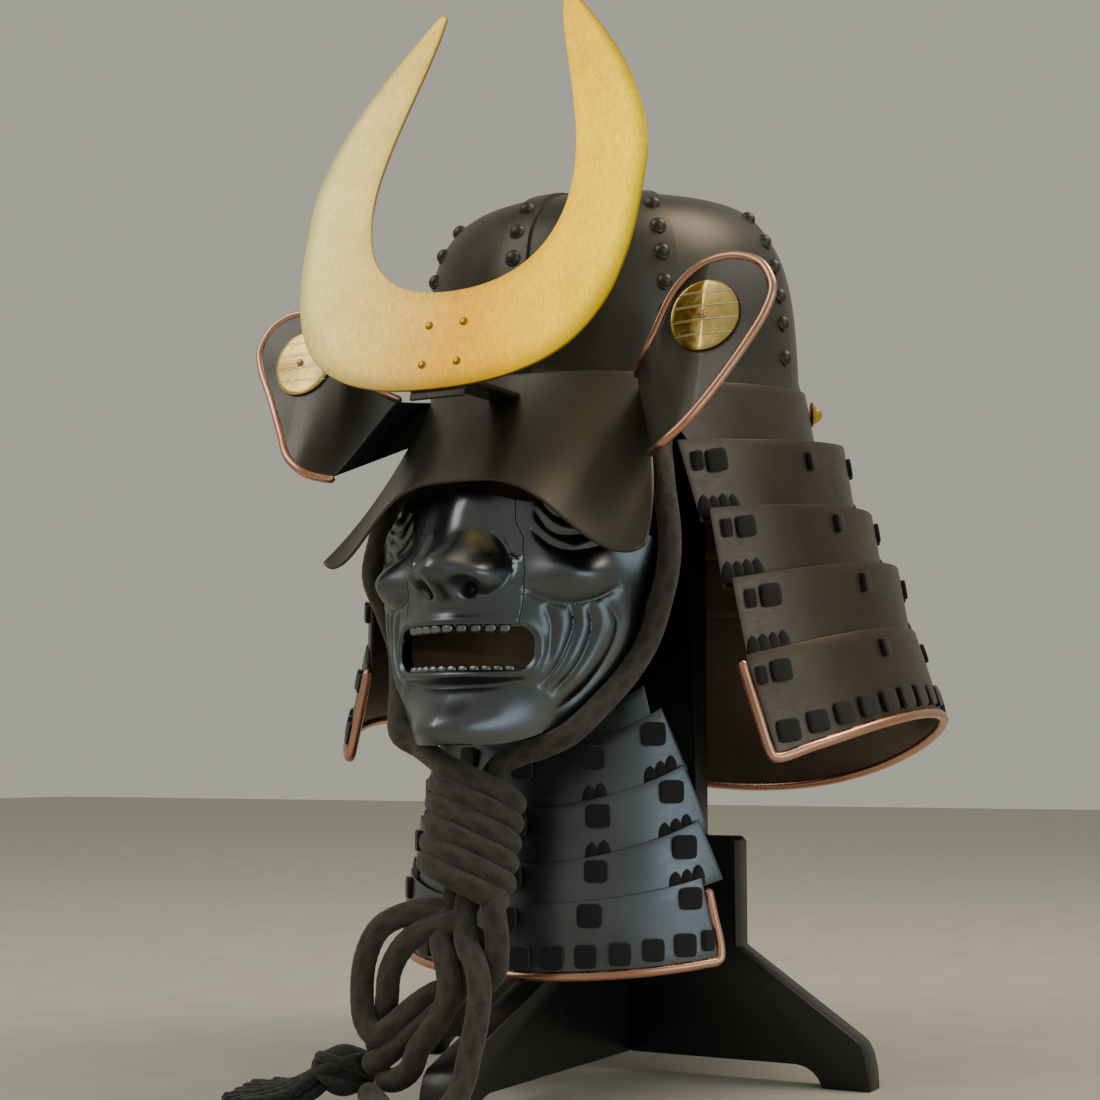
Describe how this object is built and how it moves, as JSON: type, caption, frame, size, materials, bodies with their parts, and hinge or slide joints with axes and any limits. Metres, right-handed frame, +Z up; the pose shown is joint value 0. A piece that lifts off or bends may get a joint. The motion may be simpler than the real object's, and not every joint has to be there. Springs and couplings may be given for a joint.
{
  "type": "crested samurai helmet with face mask, throat guard and stand",
  "caption": "Riveted samurai helmet with crescent crest, visor, side wings and laced neck guard, over a face mask and throat guard tied by a chin cord, on a plain cross-board stand.",
  "frame": {"origin": "on the table, at the middle of the footprint of everything but the cord", "axes": "+X towards the wearer's left, -Y towards the front, +Z up"},
  "size_m": [0.3822, 0.4795, 0.6302],
  "materials": {
    "lacquer": "satin dark lacquer on iron",
    "lame": "satin bronze-black lacquer on iron",
    "mask_iron": "gloss black lacquer on iron",
    "throat_iron": "satin blue-black lacquer on iron",
    "brass": "satin",
    "copper": "satin copper plating",
    "cordage": "braided black cord",
    "lacing": "flat black braid",
    "stand_wood": "black stain",
    "pad": "black cloth over padding"
  },
  "bodies": {
    "root": {"bowl": "lacquer", "chin_cord_left": "cordage", "chin_cord_right": "cordage", "cord_knot": "cordage", "cord_wrap": "cordage", "crest": "brass", "crest_holder": "lacquer", "crown_ornament": "brass", "gilt_stud_left": "brass", "gilt_stud_right": "brass", "head_pad": "pad", "lace_1_1": "lacing", "lace_1_2": "lacing", "lace_1_3": "lacing", "lace_1_4": "lacing", "lace_1_5": "lacing", "lace_2_1": "lacing", "lace_2_2": "lacing", "lace_2_3": "lacing", "lace_2_4": "lacing", "lace_2_5": "lacing", "lace_3_1": "lacing", "lace_3_2": "lacing", "lace_3_3": "lacing", "lace_3_4": "lacing", "lace_3_5": "lacing", "mask": "mask_iron", "mask_nose": "mask_iron", "neck_lame_1": "lame", "neck_lame_2": "lame", "neck_lame_3": "lame", "neck_lame_4": "lame", "neck_lame_5": "lame", "neck_trim": "copper", "stand_cross_board": "stand_wood", "stand_long_board": "stand_wood", "tassel": "cordage", "teeth_lower": "mask_iron", "teeth_upper": "mask_iron", "throat_collar": "throat_iron", "throat_lame_1": "throat_iron", "throat_lame_2": "throat_iron", "throat_lame_3": "throat_iron", "throat_lame_4": "throat_iron", "throat_trim": "copper", "visor": "lacquer", "wing_disc_left": "brass", "wing_disc_right": "brass", "wing_left": "lame", "wing_right": "lame", "wing_trim_left": "copper", "wing_trim_right": "copper"}
  },
  "joints": []
}
